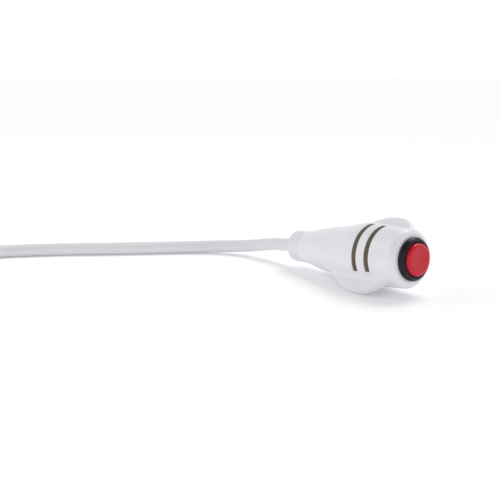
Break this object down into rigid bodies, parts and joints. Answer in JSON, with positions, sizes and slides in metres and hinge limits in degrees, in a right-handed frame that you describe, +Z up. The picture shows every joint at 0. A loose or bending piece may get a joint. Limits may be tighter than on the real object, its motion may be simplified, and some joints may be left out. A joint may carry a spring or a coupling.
{
  "type": "hand-held push-button switch",
  "caption": "Hand-held momentary push-button switch: a tapered handle with two finger wings and a round button in its nose, on a long cord that ends in a quarter-inch plug.",
  "frame": {"origin": "on the surface the switch lies on, under the middle of the handle's bounding box, with the cord, coil and plug left out", "axes": "+X along the handle towards the button as seen from above (the nose points 5 degrees up from it), +Z up; the handle is rolled 44 degrees about its own axis, so that its near wing, on the -Y side, rests on the surface"},
  "size_m": [0.2004, 0.2438, 0.0306],
  "materials": {
    "shell_white": "satin",
    "stripe_olive": "matte",
    "bezel_black": "gloss",
    "button_red": "gloss",
    "gasket_black": "matte",
    "screw_steel": "satin",
    "nut_steel": "polished",
    "contact_brass": "satin",
    "spring_steel": "satin",
    "plunger_nylon": "matte",
    "base_black": "matte",
    "sleeve_black": "matte",
    "lead_red_pvc": "satin",
    "lead_black_pvc": "satin",
    "collar_white": "satin",
    "cord_white": "satin",
    "tie_grey": "woven",
    "plug_grip_white": "satin",
    "plug_nickel": "polished",
    "insulator_black": "matte"
  },
  "bodies": {
    "handset": {"upper_shell": "shell_white", "lower_shell": "shell_white", "stripe_front": "stripe_olive", "stripe_rear": "stripe_olive", "shell_screws": "screw_steel", "bezel_gasket": "gasket_black", "switch_housing": "bezel_black", "lock_washer": "nut_steel", "switch_nut": "nut_steel", "return_spring": "spring_steel", "terminal_left": "contact_brass", "terminal_right": "contact_brass", "terminal_base": "base_black", "terminal_sleeves": "sleeve_black", "lead_red": "lead_red_pvc", "lead_black": "lead_black_pvc", "cord_inner": "cord_white", "cord_ferrule": "nut_steel", "cord_collar": "collar_white", "cord_lead": "cord_white", "cord_coil": "cord_white", "coil_tie": "tie_grey", "cord_tail": "cord_white", "plug_relief": "plug_grip_white", "plug_grip": "plug_grip_white", "plug_sleeve": "plug_nickel", "plug_insulator": "insulator_black", "plug_tip": "plug_nickel"},
    "button": {"push_button": "button_red", "plunger": "plunger_nylon", "contact_bridge": "contact_brass"}
  },
  "joints": [
    {"name": "button_press", "type": "slide", "parent": "handset", "child": "button", "axis": [-0.996, 0, -0.0889], "range_m": [0, 0.002], "stiffness_N_per_m": 750, "springref_m": -0.0025, "deforming": ["return_spring"]}
  ]
}
